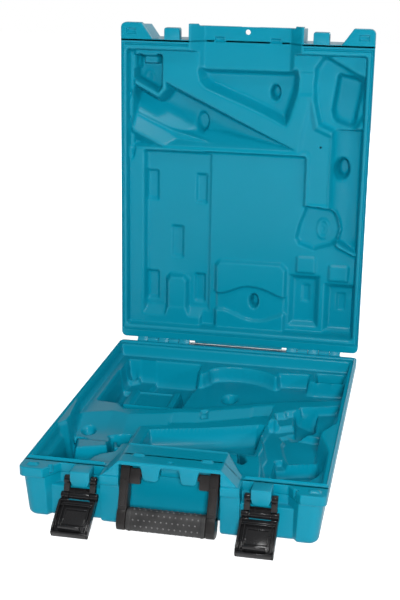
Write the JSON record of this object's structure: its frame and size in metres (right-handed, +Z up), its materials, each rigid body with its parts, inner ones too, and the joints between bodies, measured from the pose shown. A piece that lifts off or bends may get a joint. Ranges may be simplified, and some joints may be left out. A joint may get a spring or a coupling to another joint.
{
  "type": "hard tool case",
  "caption": "Double-walled plastic carrying case with a through-rod hinged lid, draw latches, a folding handle and recessed trays.",
  "frame": {"origin": "centre of the flat underside of the base", "axes": "+X to the right seen from the latches, +Y from the latches to the hinge, +Z up"},
  "size_m": [0.34, 0.5459, 0.508],
  "materials": {
    "case_plastic": "satin blow-moulded polyethylene",
    "latch_plastic": "glossy moulded",
    "handle_plastic": "satin moulded",
    "grip_rubber": "dimpled",
    "steel": "bright drawn wire"
  },
  "bodies": {
    "base": {"base_shell": "case_plastic", "hinge_rod": "steel", "left_base_pin": "steel", "right_base_pin": "steel"},
    "lid": {"lid_shell": "case_plastic"},
    "handle": {"handle_frame": "handle_plastic", "handle_grip": "grip_rubber"},
    "left_latch_link": {"left_link": "latch_plastic", "left_lever_pin": "steel"},
    "left_latch_lever": {"left_lever": "latch_plastic"},
    "right_latch_link": {"right_link": "latch_plastic", "right_lever_pin": "steel"},
    "right_latch_lever": {"right_lever": "latch_plastic"}
  },
  "joints": [
    {"name": "lid_hinge", "type": "hinge", "parent": "base", "child": "lid", "pos_m": [0, 0.226, 0.06], "axis": [1, 0, 0], "range_deg": [0, 90]},
    {"name": "handle_hinge", "type": "hinge", "parent": "base", "child": "handle", "pos_m": [0, -0.211, 0.063], "axis": [-1, 0, 0], "range_deg": [0, 75]},
    {"name": "left_link_hinge", "type": "hinge", "parent": "base", "child": "left_latch_link", "pos_m": [-0.1, -0.215, 0.048], "axis": [-1, 0, 0], "range_deg": [0, 10]},
    {"name": "left_lever_hinge", "type": "hinge", "parent": "left_latch_link", "child": "left_latch_lever", "pos_m": [-0.1, -0.22041, 0.03136], "axis": [-1, 0, 0], "range_deg": [0, 112]},
    {"name": "right_link_hinge", "type": "hinge", "parent": "base", "child": "right_latch_link", "pos_m": [0.1, -0.215, 0.048], "axis": [-1, 0, 0], "range_deg": [0, 10]},
    {"name": "right_lever_hinge", "type": "hinge", "parent": "right_latch_link", "child": "right_latch_lever", "pos_m": [0.1, -0.22041, 0.03136], "axis": [-1, 0, 0], "range_deg": [0, 112]}
  ]
}
